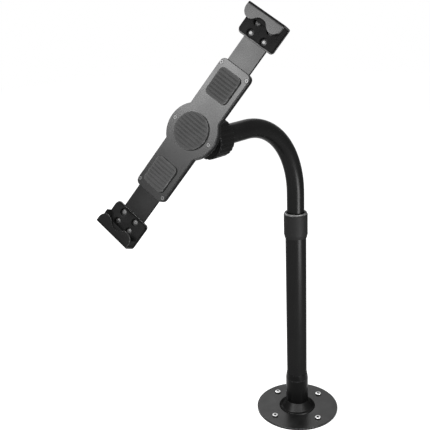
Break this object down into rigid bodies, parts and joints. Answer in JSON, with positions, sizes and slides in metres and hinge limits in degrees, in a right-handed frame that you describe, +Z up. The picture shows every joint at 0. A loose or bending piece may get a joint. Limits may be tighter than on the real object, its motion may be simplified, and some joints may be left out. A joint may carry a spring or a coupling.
{
  "type": "tablet security desk mount",
  "caption": "Screw-down desk mount: round base, post, height-adjustable tube with a quarter bend, clamped ball joint and a locking two-claw holder that grips a tablet by two corners.",
  "frame": {"origin": "centre of the four desk screws at the base plate's underside, on the post's axis", "axes": "+Z up along the post, -Y along the bent tube's reach, +X to the right seen from the front"},
  "size_m": [0.1684, 0.3367, 0.5854],
  "materials": {
    "black_powder": "satin black powder coat",
    "grey_plastic": "matte dark grey",
    "black_nylon": "dull black",
    "black_rubber": "matte black rubber",
    "black_foam": "matte black foam rubber",
    "zinc_steel": "bright zinc plate",
    "bare_steel": "turned steel",
    "black_steel": "black oxide",
    "brass": "cut brass"
  },
  "bodies": {
    "base": {"base_plate": "black_powder", "base_flare": "black_powder", "base_socket": "black_powder", "socket_screws": "black_steel", "desk_screws": "zinc_steel", "pole": "black_powder", "pole_bush": "black_nylon", "collar_thread": "bare_steel", "clamp_collet": "black_nylon"},
    "lock_collar": {"lock_collar": "grey_plastic"},
    "lift": {"lift_slider": "black_nylon"},
    "elbow": {"elbow_tube": "black_powder", "ball_housing": "black_powder", "housing_screw": "black_steel"},
    "ball_ring": {"ball_ring": "black_powder"},
    "ball_seat": {"ball_seat": "black_nylon"},
    "ball": {"ball_stud": "zinc_steel"},
    "holder": {"holder_back": "black_powder", "holder_cover": "black_powder", "cover_screws": "black_steel", "rest_pads": "black_rubber", "pinion_pin": "bare_steel", "swivel_washer": "black_nylon", "swivel_cap": "black_powder", "swivel_screws": "black_steel", "lock_body": "black_powder", "lock_screws": "black_steel"},
    "upper_arm": {"upper_bar": "black_powder", "upper_claw": "black_powder", "upper_claw_pads": "black_foam", "upper_rivets": "black_steel"},
    "lower_arm": {"lower_bar": "black_powder", "lower_claw": "black_powder", "lower_claw_pads": "black_foam", "lower_rivets": "black_steel"},
    "pinion": {"pinion": "brass"},
    "lock_plunger": {"lock_plunger": "zinc_steel"},
    "key_plug": {"key_plug": "zinc_steel"}
  },
  "joints": [
    {"name": "collar_turn", "type": "hinge", "parent": "base", "child": "lock_collar", "pos_m": [0, 0, 0.28], "axis": [0, 0, 1], "range_deg": [0, 120]},
    {"name": "lift_slide", "type": "slide", "parent": "base", "child": "lift", "axis": [0, 0, 1], "range_m": [-0.025, 0.12]},
    {"name": "elbow_swivel", "type": "hinge", "parent": "lift", "child": "elbow", "pos_m": [0, 0, 0.3], "axis": [0, 0, 1], "continuous": true},
    {"name": "ring_turn", "type": "hinge", "parent": "elbow", "child": "ball_ring", "pos_m": [0, -0.162, 0.427], "axis": [0, -1, 0], "range_deg": [0, 90]},
    {"name": "ball_yaw", "type": "hinge", "parent": "elbow", "child": "ball_seat", "pos_m": [0, -0.162, 0.427], "axis": [0, 0, 1], "range_deg": [-45, 15]},
    {"name": "ball_tilt", "type": "hinge", "parent": "ball_seat", "child": "ball", "pos_m": [0, -0.162, 0.427], "axis": [-0.9659, -0.2588, 0], "range_deg": [-55.5, 14.5]},
    {"name": "holder_turn", "type": "hinge", "parent": "ball", "child": "holder", "pos_m": [0.01455, -0.21629, 0.44801], "axis": [0.2424, -0.9048, 0.3502], "continuous": true},
    {"name": "upper_claw_slide", "type": "slide", "parent": "holder", "child": "upper_arm", "axis": [0.4501, 0.4247, 0.7856], "range_m": [-0.01885, 0.03142]},
    {"name": "lower_claw_slide", "type": "slide", "parent": "holder", "child": "lower_arm", "axis": [-0.4501, -0.4247, -0.7856], "range_m": [-0.01885, 0.03142]},
    {"name": "pinion_turn", "type": "hinge", "parent": "holder", "child": "pinion", "pos_m": [0.01009, -0.19964, 0.44157], "axis": [0.2424, -0.9048, 0.3502], "range_deg": [-226, 136]},
    {"name": "lock_push", "type": "slide", "parent": "holder", "child": "lock_plunger", "axis": [0.2424, -0.9048, 0.3502], "range_m": [0, 0.0035]},
    {"name": "key_turn", "type": "hinge", "parent": "lock_plunger", "child": "key_plug", "pos_m": [0.0273, -0.18106, 0.47765], "axis": [0.2424, -0.9048, 0.3502], "range_deg": [0, 90]}
  ],
  "couplings": [
    {"joint": "lower_claw_slide", "follows": "upper_claw_slide", "ratio": 1},
    {"joint": "pinion_turn", "follows": "upper_claw_slide", "rad_per_m": -125}
  ]
}
